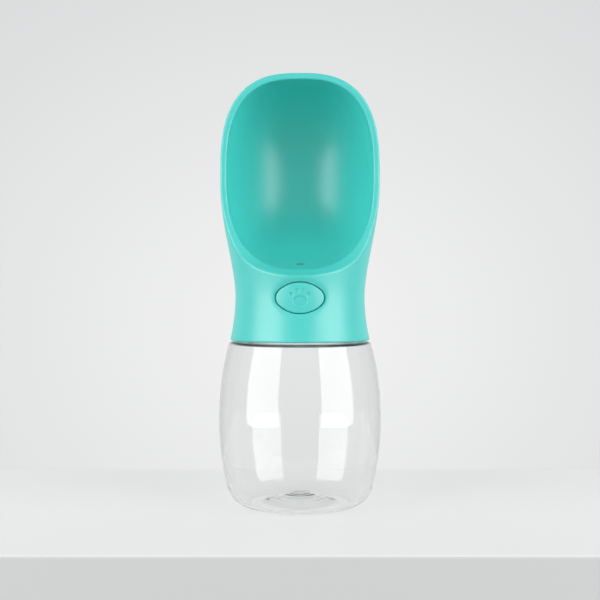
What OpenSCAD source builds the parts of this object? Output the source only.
// Dog travel water bottle: a clear threaded bottle with a screwed-on head.
// The head is a scoop-shaped drinking dish with a push button that opens a valve.
// Millimetres, +Z up, origin at the centre of the bottle's base, dish and button face -Y.

/* [Bottle] */
// Largest radius of the barrel
bottle_r = 36.7; // [35:0.1:38]
// Height of the widest level of the barrel
belly_z = 38; // [34:0.5:42]
// Height of the shoulder above the base
shoulder_z = 74.4; // [68:0.2:82]
// How far the barrel draws in towards the heel
heel_in = 3.2; // [2:0.1:5]
// Radius of the rounded heel
heel_round = 11; // [8:0.5:12]
// Height of the dome pressed into the base
punt_h = 4.6; // [3:0.1:6]
// Radius at which the base dome meets the contact ring
punt_r = 18; // [15:0.5:20]
// Wall of the bottle
bottle_wall = 1.8; // [1.2:0.1:2.4]
// Rounding where the barrel turns into the shoulder
shoulder_round = 1.6; // [1:0.1:2.2]
// How far the shoulder stands out past the collar above it
shoulder_proud = 0.7; // [0:0.1:1]

/* [Neck and closure] */
// Outside radius of the neck, at the root of its thread
neck_r = 24.4; // [22:0.1:25]
// Wall of the neck
neck_wall = 2.0; // [1.6:0.1:2.4]
// Height of the neck above the shoulder
neck_h = 9.2; // [8.4:0.1:12]
// Radial room for the thread between neck and cap skirt
thread_room = 1.2; // [1:0.05:1.6]
// Wall of the cap skirt
skirt_wall = 1.8; // [1.4:0.1:2.4]
// Thickness of the neck gasket
gasket_t = 1.8; // [1.2:0.1:2.4]
// Thickness of the cap's deck
deck_t = 2.0; // [1.6:0.1:3]
// Radius of the valve port in the deck
port_r = 6.0; // [4.5:0.1:7]
// Height of the snap bead that holds the cap in the collar
snap_h = 0.35; // [0.2:0.05:0.5]

/* [Head] */
// Gap between the bottle's shoulder and the collar
collar_gap = 0.7; // [0.5:0.1:1.5]
// How far the collar flares out from the waist
collar_flare = 2.4; // [1:0.1:3]
// Wall of the waist
waist_wall = 2.8; // [2.4:0.1:3.6]
// Width of the ledge over the cap's deck
ledge_w = 1.0; // [0.6:0.1:1.4]
// How much narrower than the bottle the scoop is, at each side
scoop_inset = 1.05; // [0:0.05:2]
// How far the back of the scoop leans out from the waist
back_flare = 4.1; // [2:0.1:6]
// Height from the lip up to the level where the scoop is widest
scoop_down = 46; // [40:0.5:54]
// Height from the widest level up to the top of the scoop
scoop_up = 44.7; // [40:0.1:50]
// Distance of the rim's plane in front of the bottle's axis
rim_y = 8; // [6:0.5:10]
// Width of the rim, and wall of the scoop
rim_w = 2.8; // [2:0.1:3.2]
// Height over which the rim swings forward into the lip
lip_swing = 11; // [9:0.5:13]
// Squareness of the scoop's outline, 2 is an ellipse
scoop_power = 2.7; // [2.3:0.05:3]
// Rise of the dish floor towards the back, per millimetre
floor_rise = 0.18; // [0.1:0.01:0.22]

/* [Lanyard eye] */
// Radius of the eye's hole
eye_r = 2.0; // [1.5:0.1:2.2]
// Length of the eye's hole
eye_w = 5.0; // [4:0.5:7]
// Wall round the eye's hole
eye_wall = 2.1; // [1.6:0.1:2.3]

/* [Button] */
// Width of the button's face
button_w = 20.7; // [18:0.1:22]
// Height of the button's face
button_h = 13.3; // [11:0.1:14.5]
// How far the button moves in
button_travel = 3.0; // [2:0.1:3.4]
// Gap all round the button
button_gap = 0.3; // [0.2:0.05:0.4]
// Wall of the button cap
button_wall = 1.6; // [1.2:0.1:2]
// How far the button's face stands proud of the waist
button_proud = 0.2; // [0:0.05:0.5]

/* [Valve] */
// Radius of the valve stem
stem_r = 2.0; // [1.6:0.1:2.4]
// Inside height of the valve chamber
chamber_h = 3.0; // [2.5:0.1:4]
// Thickness of the chamber's roof
roof_t = 2.0; // [1.8:0.1:2.6]
// Thickness of the valve disc
disc_t = 2.0; // [1.5:0.1:2.5]
// Distance of the outlet's axis inside the chamber's wall
duct_in = 4.3; // [3.8:0.1:5]
// Radius of the outlet duct's bore
duct_r = 1.8; // [1.5:0.05:1.9]
// Wall of the outlet duct
duct_wall = 1.0; // [0.8:0.05:1.1]
// Radius of the outlet hole in the dish floor
outlet_r = 1.5; // [1.2:0.05:1.8]
// Wire diameter of the springs
wire_d = 0.5; // [0.4:0.02:0.56]
// Working turns of each spring
spring_turns = 5; // [4:0.5:5]
// Shank radius of the housing screws
screw_r = 1.25; // [1:0.05:1.4]

/* [Clearances] */
// Radial gap between seated pieces
seat_gap = 0.1; // [0.05:0.01:0.15]
// Radial gap of sliding fits
slide_gap = 0.05; // [0.02:0.01:0.08]

/* [Hidden] */

teal = [0.44, 0.87, 0.82];
clear = [0.86, 0.93, 0.95, 0.4];
white = [0.93, 0.95, 0.95];
silicone = [0.80, 0.86, 0.86];
steel = [0.74, 0.75, 0.77];

// Facets of turned pieces, and steps round the head's sections
turned_fn = 96;
small_fn = 40;
ring_steps = 64;
eps = 0.01;

// Levels of neck, cap and chamber, from the shoulder up
neck_top_z = shoulder_z + neck_h;
deck_z = neck_top_z + gasket_t;
deck_top_z = deck_z + deck_t;
roof_z = deck_top_z + chamber_h;
roof_top_z = roof_z + roof_t;
washer_t = 0.5;
washer_top_z = roof_top_z + washer_t;

// Radii of neck, cap and collar, from the neck out
neck_in_r = neck_r - neck_wall;
skirt_in_r = neck_r + thread_room;
cap_r = skirt_in_r + skirt_wall;
collar_bore_r = cap_r + seat_gap;
core_r = collar_bore_r - ledge_w;
waist_r = core_r + waist_wall;
collar_r = waist_r + collar_flare;
shoulder_r = collar_r + shoulder_proud;

// Collar edge and cap skirt over the shoulder
collar_z = shoulder_z + collar_gap;
skirt_z = collar_z + collar_gap;
snap_z = skirt_z + 2.8;

// The button stands on the cap's deck, with a sill under its opening
sill = 0.15;
button_z = deck_top_z + sill + button_gap + button_h / 2;
waist_over_button = 0.6;
waist_z = button_z + waist_over_button;
opening_w = button_w + 2 * button_gap;
opening_h = button_h + 2 * button_gap;
sleeve_wall = 1.4;
sleeve_w = opening_w + 2 * sleeve_wall;
sleeve_y = -sqrt(pow(core_r, 2) - pow(sleeve_w / 2, 2)) + seat_gap;

// Slider behind the button: flange against the sleeve, arms over the yoke
flange_t = 1.5;
flange_front_y = sleeve_y + slide_gap;
flange_back_y = flange_front_y + flange_t;
flange_lap = 0.8;
flange_w = opening_w + 2 * flange_lap;
arm_in = 4.4;
arm_t = 2.2;
arm_h = button_travel + 0.9;

// Valve spring and yoke over the washer
spring_slack = 0.5;
valve_spring_r = stem_r + 1.1;
valve_spring_len = button_travel + spring_turns * wire_d + spring_slack;
yoke_z = washer_top_z + valve_spring_len;
yoke_h = button_travel + 1.0;
yoke_half_d = button_travel;
yoke_foot = 0.5;
hub_wall = 1.5;
yoke_half_w = arm_in + arm_t + 0.4;
arm_z = yoke_z + 0.4;
arm_top_z = arm_z + arm_h;
// The ramp plane of the yoke is z = y + ramp_c
ramp_c = yoke_z + yoke_foot + yoke_half_d;
ramp_gap = 0.1;

// Chamber and its screws, inside the neck's bore
boss_r = screw_r + 1.45;
housing_r = neck_in_r - 1.6;
screw_circle_r = neck_in_r - 1.7 - boss_r;
screw_head_r = 2 * screw_r - 0.2;
drum_r = screw_circle_r - screw_head_r - 0.4;
drum_wall = 1.8;
housing_flange_t = 1.8;
screw_head_h = 1.4;
screw_len = 7.4;
screw_angles = [90, 210, 330];
seal_groove_w = 1.6;
seal_groove_h = 1.2;
seal_lip = 0.6;
seal_groove_r = drum_r - drum_wall + seal_lip;
housing_front_y = flange_front_y + button_travel + 0.5;

// Duct and spring post on the chamber's roof
duct_y = drum_r - duct_in;
duct_out_r = duct_r + duct_wall;
post_t = 1.8;
post_y = -(duct_y + duct_out_r + 1.4);
post_w = 7.2;
post_top_z = arm_z - 0.8;
button_spring_len = post_y - flange_back_y;
spring_r = 2.2;

// Scoop levels: the lip clears the slider's arms
lip_over_arms = 0.8;
lip_z = arm_top_z + lip_over_arms;
scoop_z = lip_z + scoop_down;
top_z = scoop_z + scoop_up;
scoop_half_w = bottle_r - scoop_inset;
scoop_flare = scoop_half_w - waist_r;
scoop_back_y = waist_r + back_flare;
scoop_depth = scoop_back_y + rim_y;
lean_rise = 10;
swell_start = 1.7;
swell_end = 2.9;
lean_z = lip_z + lean_rise;
back_power = 2.4;
depth_power = 2.3;
collar_curve = 2;
lip_reach = half_w(lip_z) - 0.1 - rim_y;

// Grommet between duct and dish
socket_wall = 1.1;
grommet_wall = 1.05;
grommet_r = duct_out_r + slide_gap + grommet_wall;
dish_floor_z = lip_z + rim_w + floor_rise * (lip_out_y() - duct_y);
underside_z = dish_floor_z - rim_w;
socket_z = arm_top_z + 0.4;
grommet_h = underside_z - socket_z;
duct_top_z = underside_z - grommet_h / 2;

// Valve below the deck
seat_lip_h = 0.5;
seat_lip_w = 1.2;
disc_r = port_r + seat_lip_w + 1.0;
disc_top_z = deck_z - seat_lip_h - slide_gap;
disc_z = disc_top_z - disc_t;
foot_r = port_r - 0.5;
foot_t = 1.6;
stem_top_z = yoke_z + yoke_h - 1.2;
stem_seal_h = 1.3;
stem_seal_w = 1.1;

// Eye at the back of the waist
eye_out_r = eye_r + eye_wall;
eye_y = waist_r + eye_r + 0.6;

// Smooth step from 0 to 1
function smooth(t) = let (u = min(1, max(0, t))) u * u * (3 - 2 * u);

// Rounded fall from 1 at t = 0 to 0 at t = 1, of the given squareness
function crown(t, p) = pow(max(0, 1 - pow(min(1, max(0, t)), p)), 1 / p);

// Swell of the head from 0 at the waist to 1 at the scoop
function swell(t) = 1 - pow(1 - pow(min(1, max(0, t)), swell_start), swell_end);

// Signed power, for superellipse outlines
function spow(v, p) = sign(v) * pow(abs(v), p);

// Half width of the head at a level
function half_w(z) =
    z < waist_z ? waist_r + collar_flare * pow((waist_z - z) / (waist_z - collar_z), collar_curve) :
    z < scoop_z ? waist_r + scoop_flare * swell((z - waist_z) / (scoop_z - waist_z)) :
    scoop_half_w * crown((z - scoop_z) / scoop_up, scoop_power);

// How far the head's sections lean towards the rim's plane, 0 at the waist and 1 at the scoop
function lean(z) = smooth((z - lean_z) / (scoop_z - lean_z));
function centre_y(z) = -rim_y * lean(z);

// Depth of a section behind its centre
function back_d(z) =
    z < waist_z ? half_w(z) :
    z < scoop_z ? waist_r + back_flare * smooth((z - waist_z) / (scoop_z - waist_z)) - centre_y(z) :
    scoop_depth * crown((z - scoop_z) / scoop_up, back_power);

// One horizontal section of the head
function section(z) =
    let (p = 2 / (2 + 0.3 * lean(z)), w = half_w(z), b = back_d(z), f = w * (1 - 0.6 * lean(z)))
    [for (i = [0 : ring_steps - 1]) let (a = 360 * i / ring_steps)
        [w * spow(cos(a), p), centre_y(z) + (sin(a) > 0 ? b : f) * spow(sin(a), p), z]];

// Depth of the rim at a level, flat across the width
function rim_at(z) = -rim_y - lip_reach * exp(-(z - lip_z) / lip_swing);

// Where the floor of the dish begins, behind the lip's edge
function lip_out_y() = rim_y + (half_w(lip_z) - 0.1 - rim_y) * exp(-rim_w / lip_swing);

// Half outline of the dish at a depth: width, height over and under the scoop's centre
function dish_ring(y, grow) =
    let (s = crown((y + rim_y) / (scoop_depth - rim_w + grow), depth_power),
         w = (scoop_half_w - rim_w + grow) * s,
         up = (scoop_up - rim_w + grow) * s,
         down = (scoop_down - rim_w + grow - floor_rise * max(0, y + lip_out_y())) * s,
         p = 2 / scoop_power)
    [for (i = [0 : ring_steps - 1]) let (a = 360 * i / ring_steps)
        [-w * spow(cos(a), p), y, scoop_z + (sin(a) > 0 ? up : down) * spow(sin(a), p)]];

// Skin over rings of equal length, each turning left as seen from the next one
module loft(rings) {
    n = len(rings[0]);
    m = len(rings);
    sides = [for (i = [0 : m - 2], j = [0 : n - 1])
        let (a = i * n + j, b = i * n + (j + 1) % n)
        each [[a, b + n, b], [a, a + n, b + n]]];
    first = [for (j = [0 : n - 1]) j];
    last = [for (j = [n - 1 : -1 : 0]) (m - 1) * n + j];
    polyhedron([for (r = rings) each r], concat([first], sides, [last]), convexity = 6);
}

// Plain ring about the Z axis
module ring(r_in, r_out, z, h) {
    translate([0, 0, z])
        rotate_extrude($fn = turned_fn)
            translate([r_in, 0])
                square([r_out - r_in, h]);
}

// Oval of four tangent arcs, w wide and h high
module oval(w, h) {
    a = w / 2;
    b = h / 2;
    end_r = 0.65 * b;
    side_r = (pow(b, 2) + pow(a - end_r, 2) - pow(end_r, 2)) / (2 * (b - end_r));
    tangent_x = (a - end_r) * side_r / (side_r - end_r);
    intersection() {
        translate([0, b - side_r])
            circle(side_r, $fn = turned_fn);
        translate([0, side_r - b])
            circle(side_r, $fn = turned_fn);
        square([2 * tangent_x, h], center = true);
    }
    for (s = [-1, 1])
        translate([s * (a - end_r), 0])
            circle(end_r, $fn = small_fn);
}

// Prism of an outline in the XZ plane at the button's level, from depth y0 to y1
module along_y(y0, y1) {
    translate([0, y1, button_z])
        rotate([90, 0, 0])
            linear_extrude(y1 - y0)
                children();
}

// Outline in the YZ plane, drawn as (y, z), as a prism of the given width about X = 0
module across_x(width) {
    rotate([90, 0, 90])
        translate([0, 0, -width / 2])
            linear_extrude(width)
                children();
}

// Points of a helix with straight rise, and the tube of wire along it
function coil_point(t, r, len) = [r * cos(360 * spring_turns * t), r * sin(360 * spring_turns * t),
                                  wire_d / 2 + (len - wire_d) * t];
function coil_ring(t, r, len) =
    let (turn = 360 * spring_turns * t,
         out = [cos(turn), sin(turn), 0],
         slope = atan((len - wire_d) / (2 * PI * r * spring_turns)),
         up = [sin(turn) * sin(slope), -cos(turn) * sin(slope), cos(slope)],
         p = coil_point(t, r, len))
    [for (k = [0 : 5]) p + wire_d / 2 * (out * cos(60 * k) - up * sin(60 * k))];

module coil(r, len) {
    steps = ceil(8 * spring_turns);
    line = [for (i = [0 : steps]) coil_point(i / steps, r, len)];
    gaps = [for (i = [0 : steps - 5], j = [i + 5 : steps]) norm(line[i] - line[j]) - wire_d];
    echo(least_gap_of_spring_to_itself = min(gaps));
    loft([for (i = [0 : steps]) coil_ring(i / steps, r, len)]);
}

// Outside radius of the barrel at a level
function barrel_r(z) =
    z < belly_z ? bottle_r - heel_in * pow((belly_z - z) / (belly_z - heel_round), 2) :
    bottle_r - (bottle_r - shoulder_r) * pow((z - belly_z) / (shoulder_z - shoulder_round - belly_z), 2.2);

// Half outline of the bottle, inset by the wall for the inside
function bottle_side(inset) =
    let (heel_angle = 15,
         heel_z = heel_round * (1 - sin(heel_angle)),
         heel_x = barrel_r(heel_z) - heel_round * cos(heel_angle),
         top_r = shoulder_round - min(inset, shoulder_round - 0.4),
         side_z = shoulder_z - inset - top_r)
    concat(
        [for (i = [0 : 8]) [punt_r * i / 8, inset + punt_h * (0.5 + 0.5 * cos(22.5 * i))]],
        [for (i = [0 : 8]) let (a = -90 + (90 - heel_angle) * i / 8)
            [heel_x + (heel_round - inset) * cos(a), heel_round + (heel_round - inset) * sin(a)]],
        [for (i = [1 : 20]) let (z = heel_z + (side_z - heel_z) * i / 20)
            [barrel_r(z) - inset, z]],
        [for (i = [1 : 4]) let (a = 22.5 * i)
            [shoulder_r - inset - top_r * (1 - cos(a)), side_z + top_r * sin(a)]]);

module bottle() {
    color(clear)
        rotate_extrude($fn = turned_fn) {
            outside = bottle_side(0);
            inside = bottle_side(bottle_wall);
            polygon(concat(
                outside,
                [[neck_r, shoulder_z], [neck_r, neck_top_z], [neck_in_r, neck_top_z],
                 [neck_in_r, shoulder_z - bottle_wall]],
                [for (i = [len(inside) - 1 : -1 : 0]) inside[i]]));
        }
}

// Solid outside form of the head, before the scoop is opened
module head_form() {
    lower = [for (z = [collar_z : (scoop_z - collar_z) / 22 : scoop_z - 1]) section(z)];
    upper = [for (a = [0 : 7.5 : 82.5]) section(scoop_z + scoop_up * pow(sin(a), 2 / scoop_power))];
    loft(concat(lower, upper, [section(top_z - 0.04)]));
}

// All that lies in front of the rim
module scoop_cut() {
    low = lip_z - 3;
    across_x(4 * scoop_half_w)
        polygon(concat([[-3 * waist_r, low]],
            [for (i = [0 : 24]) let (z = low + 3.6 * lip_swing * pow(i / 24, 1.5)) [rim_at(z), z]],
            [[rim_at(top_z + 5), top_z + 5], [-3 * waist_r, top_z + 5]]));
}

// The hollow of the dish, or the dish with its wall when grown by it
module dish_form(grow) {
    reach = scoop_depth - rim_w + grow;
    loft(concat([dish_ring(-2 * waist_r, grow)],
        [for (y = [-lip_out_y() : (lip_out_y() - rim_y) / 8 : -rim_y - 0.5]) dish_ring(y, grow)],
        [for (a = [0 : 9 : 81]) dish_ring(-rim_y + reach * pow(sin(a), 2 / depth_power), grow)],
        [dish_ring(-rim_y + reach - 0.03, grow)]));
}

// Places of what stands inside the hollow waist: button sleeve and grommet socket
module head_bosses() {
    along_y(-waist_r, sleeve_y)
        oval(sleeve_w, opening_h + 2 * sleeve_wall);
    translate([0, -duct_y, socket_z])
        cylinder(r = grommet_r + seat_gap + socket_wall, h = rim_w + 4, $fn = small_fn);
}

module lanyard_lug() {
    hull() {
        translate([-eye_w / 2, eye_y, button_z])
            rotate([0, 90, 0])
                cylinder(r = eye_out_r, h = eye_w, $fn = small_fn);
        translate([0, waist_r - 1.5, button_z])
            cube([eye_w, 1, 2.9 * eye_out_r], center = true);
    }
}

// The moulded housing: collar, waist and scoop in one piece
module head_shell() {
    color(teal)
        difference() {
            // The skin's facets are brought to the exact width
            resize([2 * scoop_half_w, 0, 0])
                difference() {
                    union() {
                        head_form();
                        lanyard_lug();
                    }
                    scoop_cut();
                    dish_form(0);
                    difference() {
                        translate([0, 0, collar_z - 1])
                            cylinder(r = core_r, h = scoop_z - collar_z, $fn = 64);
                        dish_form(rim_w);
                        intersection() {
                            head_bosses();
                            translate([0, 0, deck_top_z + sill / 2 + scoop_z / 2])
                                cube([4 * waist_r, 4 * waist_r, scoop_z], center = true);
                        }
                    }
                }
            translate([0, 0, collar_z - 1])
                cylinder(r = collar_bore_r, h = deck_top_z - collar_z + 1, $fn = turned_fn);
            ring(core_r, collar_bore_r + snap_h + 0.05, snap_z - 0.1, 1.4);
            along_y(-2 * waist_r, sleeve_y + 1)
                oval(opening_w, opening_h);
            translate([0, -duct_y, underside_z - 1])
                cylinder(r = outlet_r, h = rim_w + 3, $fn = small_fn);
            translate([0, -duct_y, dish_floor_z - 0.5])
                cylinder(r1 = outlet_r, r2 = outlet_r + 1.6, h = 1.6, $fn = small_fn);
            translate([0, -duct_y, socket_z - 1])
                cylinder(r = grommet_r + seat_gap, h = grommet_h + 1, $fn = small_fn);
            translate([-eye_w, eye_y, button_z])
                rotate([0, 90, 0])
                    cylinder(r = eye_r, h = 2 * eye_w, $fn = small_fn);
        }
}

// Screw cap that takes the neck, with port, seat lip and screw bosses
module inner_cap() {
    color(white)
        difference() {
            union() {
                ring(skirt_in_r, cap_r, skirt_z, deck_top_z - skirt_z);
                ring(cap_r - 1, cap_r + snap_h, snap_z, 1.2);
                ring(0, cap_r, deck_z, deck_t);
                ring(port_r, port_r + seat_lip_w, deck_z - seat_lip_h, seat_lip_h + 1);
                at_screws()
                    translate([0, 0, deck_top_z - screw_len - 1])
                        cylinder(r = boss_r, h = screw_len + 0.5, $fn = small_fn);
            }
            translate([0, 0, deck_z - seat_lip_h - 1])
                cylinder(r = port_r, h = seat_lip_h + deck_t + 2, $fn = turned_fn);
            at_screws()
                translate([0, 0, deck_top_z - screw_len])
                    cylinder(r = screw_r + slide_gap, h = screw_len + 1, $fn = small_fn);
        }
}

// Children at each housing screw
module at_screws() {
    for (a = screw_angles)
        rotate([0, 0, a])
            translate([screw_circle_r, 0, 0])
                children();
}

module neck_gasket() {
    color(silicone)
        ring(neck_in_r + 0.2, skirt_in_r - 0.4, neck_top_z, gasket_t);
}

// Chamber over the port, with stem gland, outlet duct and spring post
module valve_housing() {
    color(white)
        difference() {
            union() {
                ring(drum_r - drum_wall, housing_r, deck_top_z, housing_flange_t);
                ring(drum_r - drum_wall, drum_r, deck_top_z, chamber_h + roof_t);
                ring(0, drum_r, roof_z, roof_t);
                translate([0, -duct_y, roof_z])
                    cylinder(r = duct_out_r, h = duct_top_z - roof_z, $fn = small_fn);
                translate([-post_w / 2, post_y, roof_z])
                    cube([post_w, post_t, post_top_z - roof_z]);
                translate([-duct_out_r / 2, post_y + eps, roof_z])
                    cube([duct_out_r, -duct_y - post_y, post_top_z - roof_z]);
                translate([0, post_y + eps, button_z])
                    rotate([90, 0, 0])
                        cylinder(r = spring_r - wire_d, h = 1.2, $fn = small_fn);
            }
            translate([0, -duct_y, roof_z - 1])
                cylinder(r = duct_r, h = duct_top_z, $fn = small_fn);
            translate([0, 0, roof_z - 1])
                cylinder(r = stem_r + slide_gap, h = roof_t + 2, $fn = small_fn);
            translate([0, 0, roof_top_z - stem_seal_h - slide_gap])
                cylinder(r = stem_r + 2 * slide_gap + stem_seal_w, h = roof_t, $fn = small_fn);
            ring(seal_groove_r, seal_groove_r + seal_groove_w, deck_top_z - 1, seal_groove_h + 1);
            at_screws()
                translate([0, 0, deck_top_z - 1])
                    cylinder(r = screw_r + seat_gap, h = housing_flange_t + 2, $fn = small_fn);
            translate([-housing_r, housing_front_y - housing_r, deck_top_z - 1])
                cube([2 * housing_r, housing_r, housing_flange_t + 2]);
        }
}

module housing_seal() {
    color(silicone)
        ring(seal_groove_r + seat_gap, seal_groove_r + seal_groove_w - seat_gap, deck_top_z,
             seal_groove_h - slide_gap);
}

// Three self-tapping screws through the housing's flange
module housing_screws() {
    color(steel)
        at_screws()
            translate([0, 0, deck_top_z + housing_flange_t])
                difference() {
                    union() {
                        cylinder(r = screw_head_r, h = screw_head_h, $fn = small_fn);
                        translate([0, 0, 0.2 - screw_len - housing_flange_t])
                            cylinder(r = screw_r, h = screw_len + housing_flange_t, $fn = small_fn);
                    }
                    for (a = [0, 90])
                        rotate([0, 0, a])
                            translate([0, 0, screw_head_h])
                                cube([2.4, 0.6, 1.4], center = true);
                }
}

// Sleeve that joins the duct to the outlet hole
module outlet_grommet() {
    color(silicone)
        translate([0, -duct_y, underside_z - grommet_h])
            difference() {
                cylinder(r = grommet_r, h = grommet_h - slide_gap, $fn = small_fn);
                translate([0, 0, -1])
                    cylinder(r = outlet_r, h = grommet_h + 2, $fn = small_fn);
                translate([0, 0, -1])
                    cylinder(r = duct_out_r + slide_gap, h = duct_top_z - underside_z + grommet_h + 1 + slide_gap,
                             $fn = small_fn);
            }
}

module stem_seal() {
    color(silicone)
        ring(stem_r + slide_gap, stem_r + slide_gap + stem_seal_w, roof_top_z - stem_seal_h, stem_seal_h);
}

module spring_washer() {
    color(steel)
        ring(stem_r + seat_gap, valve_spring_r + wire_d, roof_top_z, washer_t);
}

// Pin with a broad foot under the valve disc
module valve_stem() {
    color(steel)
        union() {
            translate([0, 0, disc_z - foot_t])
                cylinder(r = stem_r, h = stem_top_z - disc_z + foot_t, $fn = small_fn);
            ring(0, foot_r, disc_z - foot_t, foot_t);
        }
}

module valve_disc() {
    color(silicone)
        ring(stem_r + slide_gap, disc_r, disc_z, disc_t);
}

// Crosshead pressed on the stem, with a ramp along its front
module push_yoke() {
    color(white)
        difference() {
            union() {
                across_x(2 * yoke_half_w)
                    polygon([[-yoke_half_d, yoke_z], [yoke_half_d, yoke_z],
                             [yoke_half_d, yoke_z + yoke_h], [yoke_z + yoke_h - ramp_c, yoke_z + yoke_h],
                             [-yoke_half_d, yoke_z + yoke_foot]]);
                translate([0, 0, yoke_z])
                    cylinder(r = stem_r + hub_wall, h = yoke_h, $fn = small_fn);
            }
            translate([0, 0, yoke_z - 1])
                cylinder(r = stem_r + slide_gap / 2, h = stem_top_z - yoke_z + 1 + slide_gap, $fn = small_fn);
        }
}

module valve_spring() {
    color(steel)
        translate([0, 0, washer_top_z])
            coil(valve_spring_r, valve_spring_len);
}

// Oval cap of the button, its face turned to the waist's radius and slightly domed
module button() {
    dome_r = 60;
    face_r = waist_r + button_proud;
    color(teal)
        difference() {
            intersection() {
                along_y(-2 * waist_r, flange_front_y)
                    oval(button_w, button_h);
                translate([0, 0, button_z])
                    rotate_extrude($fn = turned_fn)
                        intersection() {
                            translate([face_r - dome_r, 0])
                                circle(dome_r, $fn = 2 * turned_fn);
                            translate([0, -button_h])
                                square([2 * waist_r, 2 * button_h]);
                        }
            }
            along_y(-waist_r + 2 * button_wall, flange_front_y + 1)
                oval(button_w - 2 * button_wall, button_h - 2 * button_wall);
        }
}

// Fork behind the button: plug, flange and two arms whose ends are ramps
module button_slider() {
    color(white) {
        along_y(-waist_r + 2 * button_wall + seat_gap, flange_front_y + eps)
            oval(button_w - 2 * button_wall - 2 * seat_gap, button_h - 2 * button_wall - 2 * seat_gap);
        intersection() {
            along_y(flange_front_y, flange_back_y)
                oval(flange_w, opening_h + 2 * flange_lap);
            translate([-waist_r, -waist_r, deck_top_z + housing_flange_t + 0.6])
                cube([2 * waist_r, 2 * waist_r, arm_top_z]);
        }
        translate([-arm_in - arm_t, flange_front_y, button_z])
            cube([2 * (arm_in + arm_t), flange_t, arm_top_z - button_z]);
        translate([0, flange_back_y - eps, button_z])
            rotate([-90, 0, 0])
                cylinder(r = spring_r - wire_d, h = 1.2, $fn = small_fn);
        for (s = [-1, 1])
            translate([s * (arm_in + arm_t / 2), 0, 0])
                across_x(arm_t)
                    polygon([[flange_back_y - eps, arm_z], [arm_z - ramp_c - ramp_gap, arm_z],
                             [arm_top_z - ramp_c - ramp_gap, arm_top_z], [flange_back_y - eps, arm_top_z]]);
    }
}

module button_spring() {
    color(steel)
        translate([0, flange_back_y, button_z])
            rotate([-90, 0, 0])
                coil(spring_r, button_spring_len);
}

bottle();
head_shell();
inner_cap();
neck_gasket();
valve_housing();
housing_seal();
housing_screws();
outlet_grommet();
stem_seal();
spring_washer();
valve_stem();
valve_disc();
push_yoke();
valve_spring();
button();
button_slider();
button_spring();
